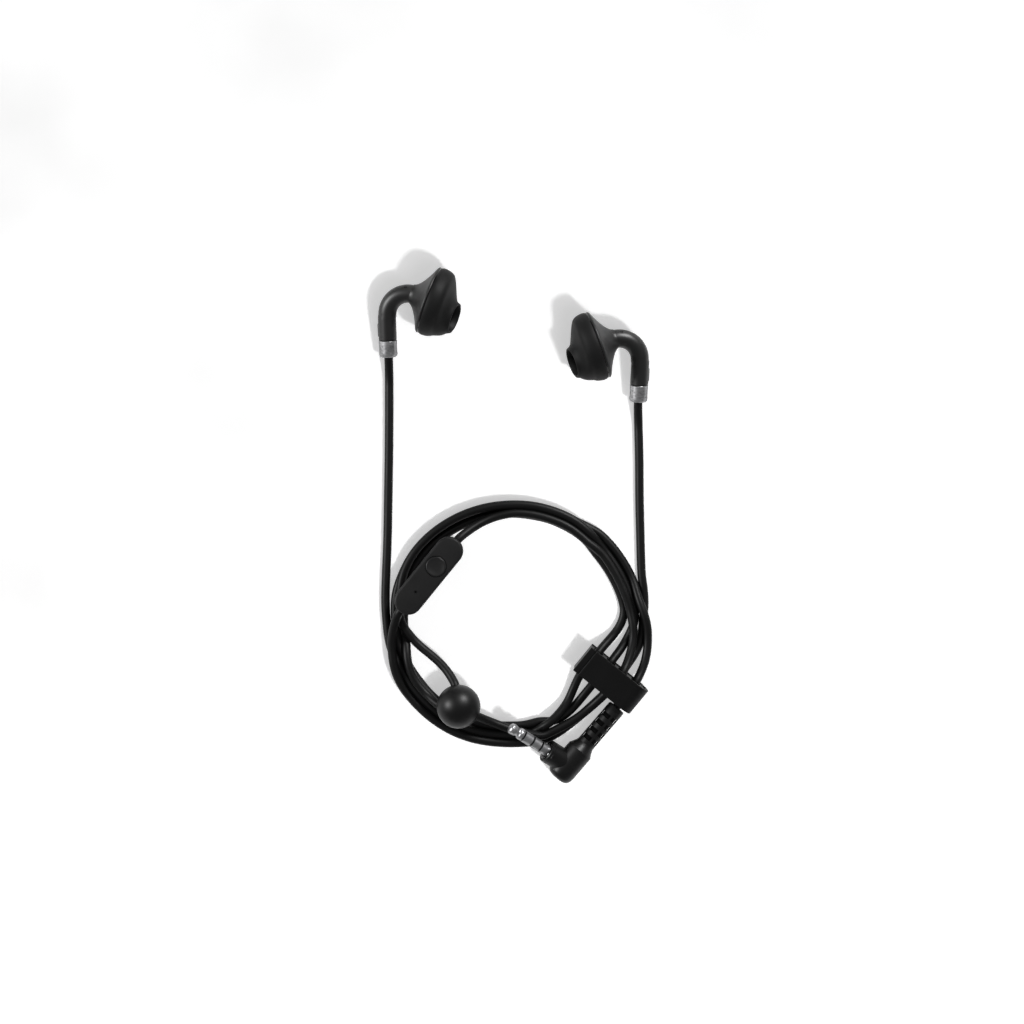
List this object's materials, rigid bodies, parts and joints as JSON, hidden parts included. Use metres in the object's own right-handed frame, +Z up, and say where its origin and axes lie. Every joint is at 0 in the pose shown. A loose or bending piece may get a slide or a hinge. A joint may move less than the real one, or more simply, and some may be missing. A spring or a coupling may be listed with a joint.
{
  "type": "wired earphones",
  "caption": "Wired in-ear earphones with elbow stems, silicone tips, in-line remote with microphone, ball splitter, right-angle audio plug and a cable clip, cable wound and clipped.",
  "frame": {"origin": "on the surface that the earphones lie on, in the middle of the box round the two earpieces", "axes": "+X from the left earpiece to the right one, +Y from the coil of cable towards the earpieces, +Z up off the surface"},
  "size_m": [0.0818, 0.1527, 0.0207],
  "materials": {
    "silicone_black": "matte silicone",
    "softtouch_black": "satin soft-touch paint",
    "satin_black": "satin gloss",
    "collar_steel": "brushed",
    "mesh_steel": "woven mesh",
    "magnet_steel": "plated",
    "coil_copper": "enamelled copper",
    "diaphragm_film": "polymer film",
    "plug_nickel": "nickel plated",
    "black_plastic": "moulded",
    "remote_black": "fine-grain moulded",
    "board_green": "solder mask",
    "ball_rubber": "satin rubber",
    "plug_black": "satin overmould",
    "clip_rubber": "matte rubber",
    "cable_black": "matte jacket"
  },
  "bodies": {
    "root": {"left_front_baffle": "black_plastic", "left_nozzle_mesh": "mesh_steel", "left_rear_housing": "softtouch_black", "left_driver_basket": "magnet_steel", "left_driver_magnet": "magnet_steel", "left_elbow_stem": "satin_black", "left_collar": "collar_steel", "left_cable_crimp": "plug_nickel", "right_front_baffle": "black_plastic", "right_nozzle_mesh": "mesh_steel", "right_rear_housing": "softtouch_black", "right_driver_basket": "magnet_steel", "right_driver_magnet": "magnet_steel", "right_elbow_stem": "satin_black", "right_collar": "collar_steel", "right_cable_crimp": "plug_nickel", "remote_bottom_shell": "remote_black", "remote_top_shell": "remote_black", "remote_circuit_board": "board_green", "remote_switch": "magnet_steel", "remote_microphone": "magnet_steel", "remote_cable_stop_upper": "plug_nickel", "remote_cable_stop_lower": "plug_nickel", "splitter_ball": "ball_rubber", "splitter_core": "plug_nickel", "plug_tip": "plug_nickel", "plug_insulator_1": "black_plastic", "plug_ring_1": "plug_nickel", "plug_insulator_2": "black_plastic", "plug_ring_2": "plug_nickel", "plug_insulator_3": "black_plastic", "plug_sleeve": "plug_nickel", "plug_collar": "black_plastic", "plug_body": "plug_black", "plug_strain_relief": "plug_black", "clip_comb": "black_plastic", "cable_left_lead": "cable_black", "cable_right_lead": "cable_black", "cable_splitter_link": "cable_black", "cable_remote_link_upper": "cable_black", "cable_remote_link_lower": "cable_black", "cable_strand_a": "cable_black", "cable_strand_b": "cable_black", "cable_strand_c_low": "cable_black", "cable_strand_c_high": "cable_black", "cable_strand_d": "cable_black", "cable_coil": "cable_black"},
    "left_tip": {"left_ear_tip": "silicone_black"},
    "right_tip": {"right_ear_tip": "silicone_black"},
    "remote_button": {"remote_button": "remote_black"},
    "left_cone": {"left_diaphragm": "diaphragm_film", "left_voice_coil": "coil_copper"},
    "right_cone": {"right_diaphragm": "diaphragm_film", "right_voice_coil": "coil_copper"},
    "clip_sleeve": {"clip_sleeve": "clip_rubber"}
  },
  "joints": [
    {"name": "left_tip_pull", "type": "slide", "parent": "root", "child": "left_tip", "axis": [0.9334, -0.3564, 0.0419], "range_m": [0, 0.012]},
    {"name": "right_tip_pull", "type": "slide", "parent": "root", "child": "right_tip", "axis": [-0.9382, -0.3452, 0.0262], "range_m": [0, 0.012]},
    {"name": "button_press", "type": "slide", "parent": "root", "child": "remote_button", "axis": [0, 0, -1], "range_m": [0, 0.0004], "stiffness_N_per_m": 400},
    {"name": "left_cone_stroke", "type": "slide", "parent": "root", "child": "left_cone", "axis": [0.9334, -0.3564, 0.0419], "range_m": [-0.00015, 0.00015], "stiffness_N_per_m": 400},
    {"name": "right_cone_stroke", "type": "slide", "parent": "root", "child": "right_cone", "axis": [-0.9382, -0.3452, 0.0262], "range_m": [-0.00015, 0.00015], "stiffness_N_per_m": 400},
    {"name": "clip_sleeve_slide", "type": "slide", "parent": "root", "child": "clip_sleeve", "axis": [0.7782, -0.628, 0], "range_m": [0, 0.0175]}
  ]
}
